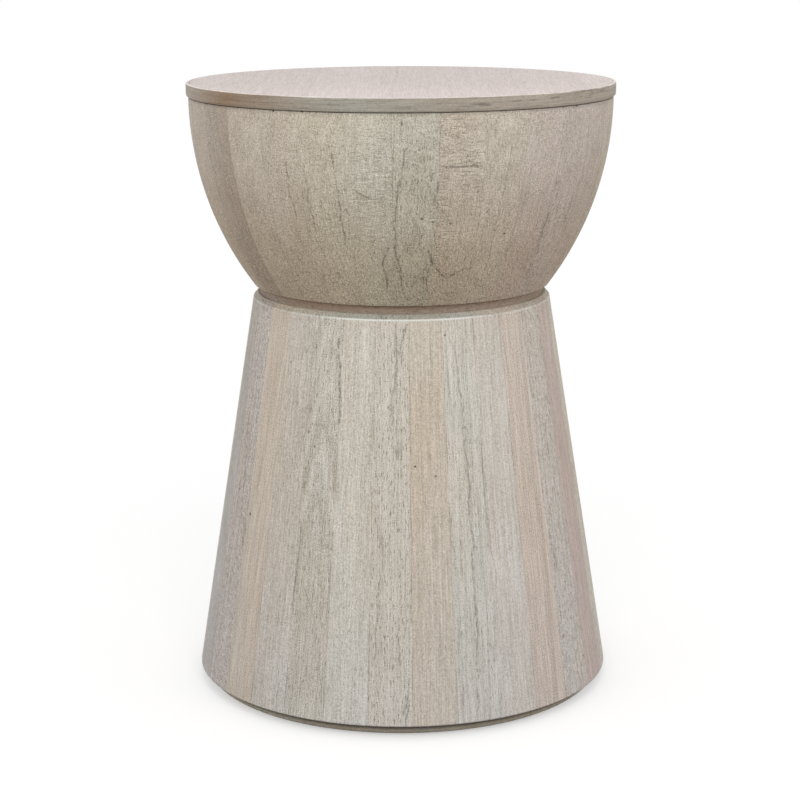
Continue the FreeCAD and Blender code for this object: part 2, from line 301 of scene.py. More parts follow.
def woodFinish(name, look, own=None, pits=(), streaks=()):
    material = blankMaterial(name)
    place = objectPlace()
    if own:  # a piece of one board, with its grain along X or Y
        x, y, z = split(place)
        across, along = (y, x) if own["along"] == "X" else (x, y)
        local = joined(X=z, Y=across, Z=along)
        stave, colour, joint = own["seed"], own["tint"], 1.0
        heart, figure = own["heart"], own["figure"]
    else:
        local = attribute("grain", "Vector")
        stave, joint = attribute("stave", "Fac"), attribute("joint", "Fac")
        colour = attribute("tint", "Color")
        heart = split(attribute("heart", "Vector"))
        figure = split(attribute("figure", "Vector"))
    veinAmount, rippleAmount, ringAmount = figure
    heartDepth, heartAside, heartTilt = heart
    depth, across, along = split(local)
    upright = depth if own else along

    board = vector("ADD", local, scaled(look["apart"], stave))

    # growth rings round the heart, which leans through the stave and gives arches
    slow = swing(noise(board, look["sway"]), look["swayReach"])
    quick = swing(noise(board, look["waver"]), look["waverReach"])
    inward = total(heartDepth, product(depth, -1.0), product(along, heartTilt))
    aside = less(across, heartAside)
    square = total(product(inward, inward), product(aside, aside))
    ringPlace = total(sums("SQRT", square), slow, quick)
    rings = {"W": ringPlace, "Scale": look["ringsPerMetre"], "Detail": 3.0, "Roughness": 0.6}
    rings = swing(made("ShaderNodeTexNoise", rings, noise_dimensions="1D"), ringAmount)

    fibre = noise(board, look["fibre"], rough=0.6)
    dash = noise(board, look["dash"], detail=1.5)
    speck = noise(board, look["speck"], detail=1.5)
    ripple = noise(board, look["ripple"], twist=0.9)
    mottle = noise(board, look["mottle"], detail=1.5)
    patch = noise(board, look["patch"], detail=3.0)
    figurePatch = levels(board, look["figurePatch"])
    openness = total(look["poreShare"], product(veinAmount, look["poreGain"]))
    pores = product(levels(board, look["pore"], detail=1.0), openness)

    # thin dark veins along the grain, broken into dashes
    veinLine = sums("ABSOLUTE", less(noise(board, look["veinLine"]), 0.5))
    veinLine = fade(veinLine, 0.0, look["veinWidth"], 1.0, 0.0)
    veins = product(veinLine, levels(board, look["veinDash"]), levels(board, look["veinPatch"]), veinAmount)
    if streaks:  # drawn straight from the front
        wander = put("ShaderNodeTexNoise", {"Vector": place, "Scale": look["wander"]}).outputs["Color"]
        wander = scaled(vector("SUBTRACT", wander, (0.5, 0.5, 0.5)), look["wanderReach"])
        wavy = vector("MULTIPLY", vector("ADD", place, wander), (1.0, 0.0, 1.0))
        broken = levels(board, look["streakBreak"], look["streakLeast"])
        ahead = fade(split(place)[1], *look["streakBack"], 1.0, 0.0)
        drawn = lineField(wavy, streaks, look["streakCore"])
        veins = most(veins, product(drawn, broken, ahead))
    sunk = 0.0
    for centre, width, strength in pits:  # pinholes and small knots
        gap = measure("DISTANCE", place, centre)
        sunk = most(sunk, fade(gap, look["pitCore"] * width, width, strength, 0.0))

    jointLine = fade(joint, 0.0, look["jointWidth"], 1.0, 0.0)
    jointLine = product(jointLine, levels(board, look["jointPatch"]))
    rippled = product(swing(ripple, rippleAmount), figurePatch)

    # the lime thins downwards; on the bowl this also paints shade
    thinAndShaded = fade(upright, *look["thinLimeAndShadeSpan"], 1.0, 0.0)
    stronger = product(less(ringAmount, look["usualRings"]), look["speckFollows"])
    speckled = product(swing(speck, look["speckTone"]),
                       total(1.0, product(thinAndShaded, look["thinSpeck"])), total(1.0, stronger))
    shade = total(product(rings, look["ringTone"]), swing(fibre, look["fibreTone"]),
                  swing(dash, look["dashTone"]), speckled,
                  swing(mottle, look["mottleTone"]), product(rippled, look["rippleTone"]),
                  product(pores, -look["poreTone"]), product(jointLine, -look["jointTone"]))
    thinAndShaded = total(thinAndShaded, product(fade(patch, *look["barePatch"], 1.0, 0.0), look["bareShare"]))
    colour = mixPaint(thinAndShaded, colour, (*look["bare"], 1.0), mode="MULTIPLY")
    cool = fade(upright, *look["coolSpan"], 1.0, 0.0)
    colour = mixPaint(cool, colour, (*look["cool"], 1.0), mode="MULTIPLY")
    thick = fade(upright, *look["thickSpan"], 0.0, look["thickShare"])
    if look["arris"]:  # lighter at the front: the thick lime there is partly painted light, and the edge carries a painted highlight
        front = fade(split(place)[1], *look["front"], 1.0, 0.0)
        thick = product(thick, fade(front, 0.0, 1.0, look["thickAside"], 1.0))
    colour = mixPaint(thick, colour, look["thick"])
    swings = vector("ADD", scaled(look["swings"], shade), (1.0, 1.0, 1.0))
    colour = vector("MULTIPLY", colour, swings)
    colour = mixPaint(product(veins, look["veinTone"]), colour, look["vein"])
    if pits:
        colour = mixPaint(sunk, colour, look["pit"])
    if look["arris"]:
        # painted shade on the bevel above the edge, then worn lime with a painted highlight along the edge
        over = less(upright, look["arris"])
        bevel = mixPaint(front, (*look["bevelShadeAside"], 1.0), (*look["bevel"], 1.0))
        colour = mixPaint(fade(over, *look["bevelShadeFade"]), colour, bevel, mode="MULTIPLY")
        # worn lime along the edge, with a painted highlight strongest at the front
        edge = fade(sums("ABSOLUTE", over), *look["arrisFade"], 1.0, 0.0)
        worn = levels(place, look["wear"], *look["sideWear"])
        rubbed = most(worn, product(front, look["frontHighlight"]))
        colour = mixPaint(product(edge, rubbed), colour, look["arrisLimeAndHighlight"])
    # painted shade: the wall darkens towards the given heights
    for low, high, kept in look["paintedShades"]:
        dim = fade(upright, low, high, 1.0, kept)
        if not own:
            dim = most(dim, fade(depth, *look["paintedShadeDepth"], 1.0, 0.0))
        colour = scaled(colour, dim)

    dents = total(veins, jointLine, sunk)
    height = total(product(rings, look["ringHeight"]), swing(dash, look["dashHeight"]),
                   swing(speck, look["speckHeight"]), product(rippled, look["rippleHeight"]),
                   product(dents, -look["veinHeight"]))
    roughness = total(look["roughness"], swing(patch, look["patchRough"]), swing(fibre, look["fibreRough"]))
    finishMaterial(colour, roughness, height)
    return material


def lineField(place, lines, core):  # dark along short lines, for cracks and strong veins
    field = 0.0
    for first, last, width, strength in lines:
        first, last = Vector((first[0], 0, first[2])), Vector((last[0], 0, last[2]))
        reach = last - first
        away = vector("SUBTRACT", place, first)
        share = {0: measure("DOT_PRODUCT", away, reach), 1: 1 / reach.length_squared}
        share = made("ShaderNodeMath", share, operation="MULTIPLY", use_clamp=True)
        gap = measure("DISTANCE", away, scaled(reach, share))
        field = most(field, fade(gap, core * width, width, strength, 0.0))
    return field


def pitsOn(radiusAt, marks):
    return [(ringPoint(radiusAt(height * mm), turn, height * mm), width * mm, strength)
            for width, strength, turn, height in marks]


def linesOn(radiusAt, marks):
    lines = []
    for width, strength, *path in marks:
        stops = [ringPoint(radiusAt(height * mm), turn, height * mm)
                 for turn, height in zip(path[::2], path[1::2])]
        lines += [(first, last, width * mm, strength) for first, last in zip(stops, stops[1:])]
    return lines


def ringPoint(radius, turn, height):  # turn in degrees from the front towards +X
    angle = math.radians(turn)
    return (radius * math.sin(angle), -radius * math.cos(angle), height)


# a wall of equal staves: a straight stave is bent to its share of the turn and set out round the axis

def newTree(name, sockets):  # the sockets' labels and kinds
    tree = startTree(bpy.data.node_groups.new(name, "GeometryNodeTree"))
    for label, kind in sockets.items():
        tree.interface.new_socket(label, in_out="INPUT", socket_type="NodeSocket" + kind)
    tree.interface.new_socket("Geometry", in_out="OUTPUT", socket_type="NodeSocketGeometry")
    return tree.nodes.new("NodeGroupInput").outputs


def storedAs(name, geometry, value, kind, domain="POINT"):
    named = {"Geometry": geometry, "Name": name, "Value": value}
    return made("GeometryNodeStoreNamedAttribute", named, data_type=kind, domain=domain)


def copiesOf(part, places, turn):  # one on each point, turned about its upright
    turn = made("FunctionNodeEulerToRotation", {"Euler": joined(Z=turn)})
    return made("GeometryNodeInstanceOnPoints", {"Points": places, "Instance": part, "Rotation": turn})


def closeTree(copies, finish):
    placed = made("GeometryNodeRealizeInstances", {"Geometry": copies})
    placed = made("GeometryNodeSetMaterial", {"Geometry": placed, "Material": finish})
    put("NodeGroupOutput", {"Geometry": placed})
    return build["tree"]


def stavedWallTree():
    given = newTree("stavedWall", {
        "Section": "Object", "Staves": "Int", "First Joint": "Float", "Steps Across": "Int",
        "Foot Radius": "Float", "Top Radius": "Float", "Foot Height": "Float", "Top Height": "Float",
        "Finish": "Material"})

    outline = put("GeometryNodeObjectInfo", {"Object": given["Section"]}).outputs["Geometry"]
    outline = made("GeometryNodeMeshToCurve", {"Mesh": outline})
    line = made("GeometryNodeCurvePrimitiveLine", {"Start": (0, -0.5, 0), "End": (0, 0.5, 0)})
    stops = total(given["Steps Across"], 1)
    line = made("GeometryNodeResampleCurve", {"Curve": line, "Count": stops})
    line = made("GeometryNodeSetCurveNormal", {"Curve": line}, mode="Z_UP")
    swept = {"Curve": line, "Profile Curve": outline, "Fill Caps": True}
    stave = made("GeometryNodeCurveToMesh", swept)

    radius, share, height = split(made("GeometryNodeInputPosition"))
    turn = sums("DIVIDE", math.tau, given["Staves"])
    angle = product(share, turn)
    rise = less(height, given["Foot Height"])
    rise = sums("DIVIDE", rise, less(given["Top Height"], given["Foot Height"]))
    spread = less(given["Top Radius"], given["Foot Radius"])
    face = total(given["Foot Radius"], product(rise, spread))
    grain = joined(X=less(radius, face), Y=product(angle, radius), Z=height)
    edge = less(sums("DIVIDE", turn, 2), sums("ABSOLUTE", angle))
    stave = storedAs("grain", stave, grain, "FLOAT_VECTOR")
    stave = storedAs("joint", stave, product(edge, radius), "FLOAT")
    bent = joined(X=product(radius, sums("COSINE", angle)), Y=product(radius, sums("SINE", angle)), Z=height)
    stave = made("GeometryNodeSetPosition", {"Geometry": stave, "Position": bent})

    places = made("GeometryNodePoints", {"Count": given["Staves"]})
    index = made("GeometryNodeInputIndex")
    middle = product(total(index, 0.5), turn)
    facing = total(given["First Joint"], middle, -math.pi / 2)  # joints count from the front
    copies = copiesOf(stave, places, facing)
    copies = storedAs("stave", copies, total(index, 1), "FLOAT", "INSTANCE")
    return closeTree(copies, given["Finish"])


def sectionObject(name, outline):  # an outline of (radius, height) points as a closed loop of edges
    mesh = bpy.data.meshes.new(name)
    count = len(outline)
    mesh.from_pydata([(x, -z, 0) for x, z in outline], [(i, (i + 1) % count) for i in range(count)], [])
    return linked(name, mesh)


def grown(name, tree, sizes):  # runs the tree and keeps its result as a plain mesh
    piece = linked(name, bpy.data.meshes.new(name))
    nodes = piece.modifiers.new("nodes", "NODES")
    nodes.node_group = tree
    for item in tree.interface.items_tree:
        if item.in_out == "INPUT":
            nodes[item.identifier] = sizes[item.name]
    bpy.context.view_layer.update()
    depsgraph = bpy.context.evaluated_depsgraph_get()
    mesh = bpy.data.meshes.new_from_object(
        piece.evaluated_get(depsgraph), preserve_all_data_layers=True, depsgraph=depsgraph)
    piece.modifiers.remove(nodes)
    piece.data = mesh
    mesh.name = name
    return piece


def eased(corners, rounds, steps=5):  # an outline with its named corners rounded off
    corners, outline = [Vector(corner) for corner in corners], []
    for i, corner in enumerate(corners):
        if not rounds.get(i):
            outline.append(corner)
            continue
        back = (corners[i - 1] - corner).normalized()
        ahead = (corners[(i + 1) % len(corners)] - corner).normalized()
        half = math.acos(back.dot(ahead)) / 2
        middle = corner + (back + ahead).normalized() * rounds[i] / math.sin(half)
        first = (corner + back * rounds[i] / math.tan(half) - middle).normalized()
        last = (corner + ahead * rounds[i] / math.tan(half) - middle).normalized()
        outline += [middle + first.slerp(last, k / steps) * rounds[i] for k in range(steps + 1)]
    return outline


softEdges = {"segments": 2, "sharperThan": 40, "faceWeight": 100}


def softenEdges(piece, width):
    bevel = piece.modifiers.new("softEdges", "BEVEL")
    bevel.width = width
    bevel.segments = softEdges["segments"]
    bevel.limit_method = "ANGLE"
    bevel.angle_limit = math.radians(softEdges["sharperThan"])
    bevel.use_clamp_overlap = True
    piece.data.shade_smooth()
    normals = piece.modifiers.new("evenShading", "WEIGHTED_NORMAL")
    normals.keep_sharp = True
    normals.weight = softEdges["faceWeight"]


chance = {  # limits of what a stave draws
    "heart": ((0.03, 0.11), (-0.07, 0.07), (-0.05, 0.05)),  # depth, aside and tilt
    "figure": ((0.1, 0.5), (0.2, 0.7), (0.4, 0.8)),  # veins, ripple and rings
}


def dress(piece, staves, tints):  # each stave's own tint, heart and figure, kept on its points
    draw = random.Random(staves["seed"])
    names = staves["tints"].split()
    hearts, figures = {}, {}
    for number in range(1, len(names) + 1):
        heart = [draw.uniform(*limits) for limits in chance["heart"]]
        figure = [draw.uniform(*limits) for limits in chance["figure"]]
        hearts[number] = staves["hearts"].get(number, heart)
        figures[number] = staves["figures"].get(number, figure)
    blend, turn = staves.get("blend", 0.0), math.tau / len(names)
    kept = piece.data.attributes
    for name, kind in (("tint", "FLOAT_COLOR"), ("heart", "FLOAT_VECTOR"), ("figure", "FLOAT_VECTOR")):
        kept.new(name, kind, "POINT")
    for i, point in enumerate(kept["stave"].data):
        number = round(point.value)
        tint = Vector(tints[names[number - 1]])
        if blend:  # towards the joint it takes on its neighbour's tint
            aside = kept["grain"].data[i].vector.y / piece.data.vertices[i].co.xy.length / turn
            beside = (number - 1 + (1 if aside > 0 else -1)) % len(names)
            nearest = number if aside > 0 else beside + 1
            if nearest not in staves["sharpJoints"]:
                tint = tint.lerp(Vector(tints[names[beside]]), 2 * abs(aside) * blend)
        kept["tint"].data[i].color = tint
        kept["heart"].data[i].vector = hearts[number]
        kept["figure"].data[i].vector = figures[number]


def bakeMap(piece, wall):  # its own map for a bake, with most of the room for the faces that show
    mesh = piece.data
    numbers = [round(entry.value) - 1 for entry in mesh.attributes["stave"].data]
    heights = [point.co.z for point in mesh.vertices]
    reaches = [point.co.xy.length for point in mesh.vertices]
    low, high, near, far = min(heights), max(heights), min(reaches), max(reaches)
    turn = math.tau / wall["staves"]
    margin = 0.02  # share of each stave's place that stays empty on either side
    flat, facing = 0.9, 0.3  # how far a face's normal points up or out
    places = mesh.uv_layers.new(name="OFBake").data
    for face in mesh.polygons:
        outward = face.normal.xy.dot(face.center.xy.normalized())
        sideways = face.normal.y * face.center.x - face.normal.x * face.center.y
        if abs(face.normal.z) > flat:
            part = "top" if face.normal.z > 0 else "under"
        elif abs(outward) > facing:
            part = "outside" if outward > 0 else "inside"
        else:
            part = "left" if sideways < 0 else "right"
        rows, start, end = wall["bakeRows"][part]
        perRow = wall["staves"] // rows
        for corner in face.loop_indices:
            point = mesh.loops[corner].vertex_index
            row, column = divmod(numbers[point], perRow)
            middle = math.radians(wall["firstJoint"]) + (numbers[point] + 0.5) * turn
            angle = math.atan2(mesh.vertices[point].co.x, -mesh.vertices[point].co.y) - middle
            across = 0.5 + ((angle + math.pi) % math.tau - math.pi) / turn
            rise = (heights[point] - low) / (high - low)
            reach = (reaches[point] - near) / (far - near)
            u = reach if part in ("left", "right") else across
            v = reach if part in ("top", "under") else rise
            places[corner].uv = ((column + margin + (1 - 2 * margin) * u) / perRow,
                                 start + (end - start) * (row + margin + (1 - 2 * margin) * v) / rows)


stavedWall = stavedWallTree()


def stavedPiece(name, wall, outline, radii, heights, finish):  # radii and heights at the foot and the top
    section = sectionObject(name + "Section", outline)
    piece = grown(name, stavedWall, {
        "Section": section, "Staves": wall["staves"], "First Joint": math.radians(wall["firstJoint"]),
        "Steps Across": wall["stepsAcross"], "Foot Radius": radii[0], "Top Radius": radii[1],
        "Foot Height": heights[0], "Top Height": heights[1], "Finish": finish})
    bpy.data.objects.remove(section)
    return piece


# cone: thirty tapered staves with a bevelled shoulder

coneLow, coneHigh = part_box("cone_stave_01")
cone = {
    "seed": 4,
    "staves": 30,
    "firstJoint": 2.6,  # degrees from the front
    "stepsAcross": 6,
    "footRadius": 193.5 * mm,
    "topRadius": 136.5 * mm,
    "wall": 27 * mm,
    "bevelWidth": 3.4 * mm,
    "bevelHeight": 4.5 * mm,
    "footRound": 1.3 * mm,
    "softEdge": 0.2 * mm,
    "bakeRows": {"outside": (2, 0.0, 0.86), "inside": (1, 0.87, 0.93), "top": (1, 0.935, 0.955),  # rows, from and to
                 "under": (1, 0.96, 0.98), "left": (1, 0.982, 0.99), "right": (1, 0.992, 1.0)},
    "tints": "honey sage pearl apricot dove rose lilac pearl oat cream lilac sage apricot cream pearl "
             "oat lilac cream rose sage pearl oat lilac slate heather oat blush ash cream lilac",
    "hearts": {28: (0.024, 0.004, 0.09), 27: (0.05, -0.02, 0.03), 1: (0.06, 0.05, 0.01), 2: (0.07, -0.06, 0.02),
               30: (0.05, 0.05, 0.01), 29: (0.08, 0.03, 0.0)},
    "figures": {30: (1.0, 0.9, 0.65), 2: (0.5, 0.6, 0.5), 28: (0.8, 1.2, 0.95), 29: (0.25, 0.3, 0.45),
                25: (0.9, 0.8, 0.9), 5: (0.8, 0.4, 0.7), 24: (0.7, 0.6, 0.7), 1: (0.1, 0.4, 0.4),
                4: (0.1, 0.6, 0.9), 26: (0.05, 0.5, 0.9), 3: (0.05, 0.3, 0.35)},
    "pits": (  # half width, strength, turn, height
        (1.2, 1.0, 4.1, 238), (1.4, 0.6, 10.6, 229), (1.9, 0.8, -55.6, 178), (1.2, 0.7, 15.5, 350),
    ),
    "streaks": (  # half width, strength, then turn and height at each stop
        (1.3, 0.75, 19.2, 340, 20.9, 253, 21.5, 137, 20.4, 22), (1.1, 0.50, 27.3, 290, 27.0, 200, 28.1, 114),
        (1.1, 0.70, -2.2, 361, -3.3, 270), (1.5, 0.85, 1.1, 359, -1.5, 334), (1.3, 0.60, -6.4, 140, -7.9, 66),
        (1.2, 0.85, -23.4, 347, -21.5, 301, -21.3, 272), (1.2, 0.45, -34.2, 284, -32.8, 213),
        (1.2, 0.50, -32.5, 183, -33.2, 98), (1.1, 0.45, -30.4, 134, -24.5, 85), (1.2, 0.55, -65.3, 256, -61.8, 191),
        (1.8, 0.55, -58.5, 172, -58.5, 148), (1.2, 0.70, 1.2, 31, 0.6, 19),
    ),
}
coneTints = {
    "cream": paint(221, 215, 203), "pearl": paint(220, 213, 204), "sage": paint(220, 215, 205),
    "lilac": paint(219, 211, 198), "heather": paint(208, 199, 192), "slate": paint(201, 195, 189),
    "oat": paint(216, 203, 187), "apricot": paint(221, 207, 195), "blush": paint(215, 207, 196),
    "ash": paint(211, 205, 193), "rose": paint(211, 194, 185), "dove": paint(214, 205, 195),
    "honey": paint(215, 203, 187),
}


def coneRadius(height):
    share = (height - coneLow.z) / (coneHigh.z - coneLow.z)
    return cone["footRadius"] + share * (cone["topRadius"] - cone["footRadius"])


inner = 1 / math.cos(math.pi / cone["staves"])  # the round that clears the formers' corners
arris = coneHigh.z - cone["bevelHeight"]
coneSection = eased(
    [(cone["footRadius"], coneLow.z), (coneRadius(arris), arris),
     (cone["topRadius"] - cone["bevelWidth"], coneHigh.z),
     ((cone["topRadius"] - cone["wall"]) * inner, coneHigh.z),
     ((cone["footRadius"] - cone["wall"]) * inner, coneLow.z)],
    {0: cone["footRound"]})
coneLook = {**limed, "coolSpan": (coneLow.z, 0.26), "thickSpan": (0.285, 0.350), "arris": arris, "speckFollows": 0.8}
coneFinish = woodFinish("limedConeStaves", coneLook, pits=pitsOn(coneRadius, cone["pits"]),
                        streaks=linesOn(coneRadius, cone["streaks"]))
coneStaves = stavedPiece("coneStaves", cone, coneSection, (cone["footRadius"], cone["topRadius"]),
                         (coneLow.z, coneHigh.z), coneFinish)
dress(coneStaves, cone, coneTints)
bakeMap(coneStaves, cone)
softenEdges(coneStaves, cone["softEdge"])
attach(coneStaves, "drum")
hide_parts(*[f"cone_stave_{n:02d}" for n in range(1, cone["staves"] + 1)])
print("cone staves:", len(coneStaves.data.polygons), "faces")


# bowl: thirty staves turned to a round inside and out

bowlLow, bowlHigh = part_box("bowl_panel_01")
bowl = {
    "seed": 11,
    "staves": 30,
    "panels": 10,
    "firstJoint": 9.6,
    "blend": 0.38,  # share of the neighbour's tint at each joint
    "sharpJoints": (25, 30),  # but not after these staves
    "stepsAcross": 6,
    "footRadius": 136.1 * mm,
    "rimRadius": 193 * mm,
    "wall": 18 * mm,
    "footRound": 1.2 * mm,
    "rimRound": 1.5 * mm,
    "arcSteps": 28,
    "softEdge": 0.2 * mm,
    "bakeRows": {"outside": (2, 0.0, 0.60), "inside": (1, 0.61, 0.89), "top": (1, 0.90, 0.94),
                 "under": (1, 0.945, 0.965), "left": (1, 0.97, 0.98), "right": (1, 0.985, 1.0)},
    "tints": "oat blush tawny dusk tawny oat blush straw tawny oat dusk fern straw oat blush "
             "tawny straw oat dusk blush straw oat tawny oat umber oat oat wheat fern moss",
    "hearts": {1: (0.05, 0.004, 0.06), 29: (0.035, 0.0, -0.05), 30: (0.04, -0.004, 0.05), 28: (0.07, 0.05, 0.01)},
    "figures": {1: (0.5, 1.6, 0.6), 29: (0.3, 1.3, 0.7), 30: (1.0, 0.9, 0.9), 28: (0.5, 0.7, 0.5),
                4: (0.7, 0.6, 0.6), 27: (0.4, 0.6, 0.5)},
    "pits": (
        (1.2, 1.0, 30.6, 441), (1.2, 1.0, 71.3, 376), (1.5, 0.8, 5.5, 458), (1.3, 0.7, 8.5, 455),
        (1.4, 0.7, 13.5, 453), (1.3, 1.0, -33.7, 547), (1.3, 1.0, -25.3, 547.5), (1.3, 1.0, 51.3, 547),
    ),
    "streaks": (
        (1.0, 0.55, 9.6, 536, 9.6, 512), (1.7, 0.55, 9.3, 488, 8.5, 470), (1.1, 0.65, 1.4, 518, -1.1, 482),
        (1.2, 0.80, -1.1, 482, -2.1, 450, 0.1, 393), (1.3, 0.85, -3.6, 430, -5.7, 414, -4.7, 396),
        (1.1, 0.75, 10.2, 501, 20.7, 502), (1.0, 0.55, 5.8, 493, 9.4, 498),
        (1.2, 0.90, 10.4, 412, 13.8, 404, 20.2, 410), (1.2, 0.80, 5.6, 403, 9.0, 407),
        (1.2, 0.70, -17.6, 514, -16.6, 435), (1.1, 0.60, -30.9, 505, -30.5, 457),
        (1.1, 0.60, -25.3, 503, -24.9, 444), (1.0, 0.50, 28.7, 516, 27.6, 413),
        (1.1, 0.60, 45.6, 455, 47.2, 417), (1.1, 0.65, -11.6, 483, -7.4, 475, -4.2, 477),
    ),
}
bowlTints = {
    "straw": paint(217, 207, 190), "oat": paint(215, 203, 186), "blush": paint(221, 211, 196),
    "tawny": paint(215, 201, 189), "dusk": paint(218, 206, 197), "umber": paint(195, 181, 166),
    "fern": paint(217, 211, 196), "moss": paint(211, 206, 191), "wheat": paint(221, 212, 194),
}
bowlLook = {
    # the lime thins towards the foot; the darker bare tint there is also painted shade of the lower bowl, which
    # faces down
    **limed, "bare": (0.86, 0.79, 0.71), "bareShare": 0.30, "jointTone": 0.16,
    "thinLimeAndShadeSpan": (bowlLow.z - 0.010, bowlLow.z + 0.150), "thinSpeck": 0.6,
    "poreTone": 0.24, "veinTone": 0.75, "fibreTone": 0.50, "dashTone": 0.10, "speckTone": 1.40,
    "mottleTone": 0.30, "rippleTone": 0.65,
    "speckHeight": 0.60 * mm, "rippleHeight": 0.80 * mm,
    "paintedShades": ((bowlHigh.z - 4.5 * mm, bowlHigh.z - 1.0 * mm, 0.85),  # painted shadow under the lid's overhang, then a darker painted shadow line in the seam
               (bowlHigh.z - 1.2 * mm, bowlHigh.z - 0.4 * mm, 0.32)),
}
bowlRise = bowlHigh.z - bowlLow.z
bowlSpread = bowl["rimRadius"] - bowl["footRadius"]
bowlRound = (bowlRise ** 2 + bowlSpread ** 2) / (2 * bowlSpread)  # the arc stands upright at the rim


def bowlRadius(height):
    return bowl["rimRadius"] - bowlRound + math.sqrt(bowlRound ** 2 - (bowlHigh.z - height) ** 2)


def bowlArc(arcRadius):  # from the foot up to the rim
    fall = math.asin(bowlRise / arcRadius)
    angles = [fall * (1 - k / bowl["arcSteps"]) for k in range(bowl["arcSteps"] + 1)]
    middle = bowl["rimRadius"] - bowlRound
    return [(middle + arcRadius * math.cos(angle), bowlHigh.z - arcRadius * math.sin(angle)) for angle in angles]


bowlOutside = bowlArc(bowlRound)
bowlInside = bowlArc(bowlRound - bowl["wall"])[::-1]
bowlSection = eased(bowlOutside + bowlInside, {0: bowl["footRound"], bowl["arcSteps"]: bowl["rimRound"]})
bowlFinish = woodFinish("limedBowlStaves", bowlLook, pits=pitsOn(bowlRadius, bowl["pits"]),
                        streaks=linesOn(bowlRadius, bowl["streaks"]))
bowlStaves = stavedPiece("bowlStaves", bowl, bowlSection, (bowl["footRadius"], bowl["rimRadius"]),
                         (bowlLow.z, bowlHigh.z), bowlFinish)
dress(bowlStaves, bowl, bowlTints)
bakeMap(bowlStaves, bowl)
softenEdges(bowlStaves, bowl["softEdge"])
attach(bowlStaves, "drum")
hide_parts(*[f"bowl_panel_{n:02d}" for n in range(1, bowl["panels"] + 1)])
print("bowl staves:", len(bowlStaves.data.polygons), "faces")


# lid: boards from front to back inside a bent edge band

bandLow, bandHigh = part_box("lid_edge_band")
band = {
    "seed": 3,
    "radius": 195 * mm,
    "thickness": 3 * mm,
    "staves": 1,
    "firstJoint": 180,  # the band's ends meet at the back
    "stepsAcross": 240,
    "topRound": 1 * mm,
    "underRound": 2.5 * mm,
    "tints": "driftwood",
    "hearts": {1: (0.5, 0.02, 0.0)},
    "figures": {1: (0.9, 0.2, 1.0)},
    "blends": (  # degrees from the front
        (-110, "driftwood"), (-72, "bleached"), (-50, "brown"), (-12, "ash"), (10, "sand"), (35, "driftwood"),
    ),
    "flatDepth": 0.01 * mm,  # of the top
    "flatShare": 1.5,  # of the top's round, which ends the flat
    "arrisLitDepth": 0.35 * mm,  # of the rubbed top edge, which is also painted lighter as a highlight
    "underShare": 0.6,  # of the round under the lip
    "underLightGain": 1.35,  # painted lighter there, against the shade of the round that faces down
    "softEdge": 0.15 * mm,
}
bandTints = {
    "driftwood": paint(188, 177, 164), "bleached": paint(193, 181, 169), "brown": paint(158, 132, 109),
    "ash": paint(180, 177, 167), "sand": paint(177, 168, 154),
    "top": paint(213, 203, 198), "arris": paint(236, 228, 222),
}
bandLook = {**limed, "fibreTone": 0.9, "speckTone": 0.45, "dashTone": 0.35, "poreTone": 0.14}
bandInside = band["radius"] - band["thickness"]
bandSection = eased(
    [(band["radius"], bandLow.z), (band["radius"], bandHigh.z), (bandInside, bandHigh.z), (bandInside, bandLow.z)],
    {0: band["underRound"], 1: band["topRound"]})
bandFinish = woodFinish("limedLidBand", bandLook)
lidBand = stavedPiece("lidBand", band, bandSection, (band["radius"], band["radius"]),
                      (bandLow.z, bandHigh.z), bandFinish)
for entry in lidBand.data.attributes["grain"].data:  # the band's grain runs round the lid
    entry.vector = (entry.vector.x, entry.vector.z, entry.vector.y)
dress(lidBand, band, bandTints)
flatRadius = band["radius"] - band["flatShare"] * band["topRound"]
for point, entry in zip(lidBand.data.vertices, lidBand.data.attributes["tint"].data):
    turn = math.degrees(math.atan2(point.co.x, -point.co.y))
    for (start, first), (end, last) in zip(band["blends"], band["blends"][1:]):
        if start <= turn <= end:
            entry.color = Vector(bandTints[first]).lerp(Vector(bandTints[last]), (turn - start) / (end - start))
    fromTop, fromUnder = bandHigh.z - point.co.z, point.co.z - bandLow.z
    if fromTop < band["flatDepth"] and point.co.xy.length < flatRadius:
        entry.color = bandTints["top"]
    elif fromTop < band["arrisLitDepth"]:
        # worn lime with a painted highlight on the top edge
        entry.color = bandTints["arris"]
    elif fromUnder < band["underShare"] * band["underRound"]:
        # painted light on the round under the lip
        entry.color = Vector(entry.color) * band["underLightGain"]
softenEdges(lidBand, band["softEdge"])
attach(lidBand, "lid")
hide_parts("lid_edge_band")
print("lid band:", len(lidBand.data.polygons), "faces")

boards = {
    "seed": 9,
    "count": 7,
    "arcSteps": 24,
    "glueLine": 0.05 * mm,
    "outermost": 0.97,  # a side past this share of the round is only its end
    "softEdge": 0.2 * mm,
    "tints": "petal shell petal shell petal bloom milk",
    "hearts": {},
    "figures": {},
}
boardTints = {"petal": paint(210, 199, 195), "shell": paint(209, 198, 194), "bloom": paint(212, 201, 197),
              "milk": paint(217, 206, 202)}


def lidBoards():
    shape = bmesh.new()
    grain = shape.verts.layers.float_vector.new("grain")
    number = shape.verts.layers.float.new("stave")
    joint = shape.verts.layers.float.new("joint")
    core, steps = bandInside - boards["glueLine"], boards["arcSteps"]
    for n in range(1, boards["count"] + 1):
        low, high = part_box(f"lid_board_{n}")
        left, right = (math.copysign(core, x) if abs(x) > boards["outermost"] * core else x
                       for x in (low.x, high.x))
        xs = [left + (right - left) * k / steps for k in range(steps + 1)]
        ends = [(x, math.sqrt(max(core ** 2 - x ** 2, 0))) for x in xs]
        outline = [(x, -y) for x, y in ends] + [(x, y) for x, y in reversed(ends) if y > 1e-6]
        rings = [[shape.verts.new((x, y, height)) for x, y in outline] for height in (low.z, high.z)]
        joinRings(shape, rings)
        for ring in rings:
            shape.faces.new(ring)
            for corner in ring:
                corner[grain] = (corner.co.z - high.z, corner.co.x - (low.x + high.x) / 2, corner.co.y)
                corner[number] = n
                corner[joint] = core
    return newPiece("lidBoards", shape)


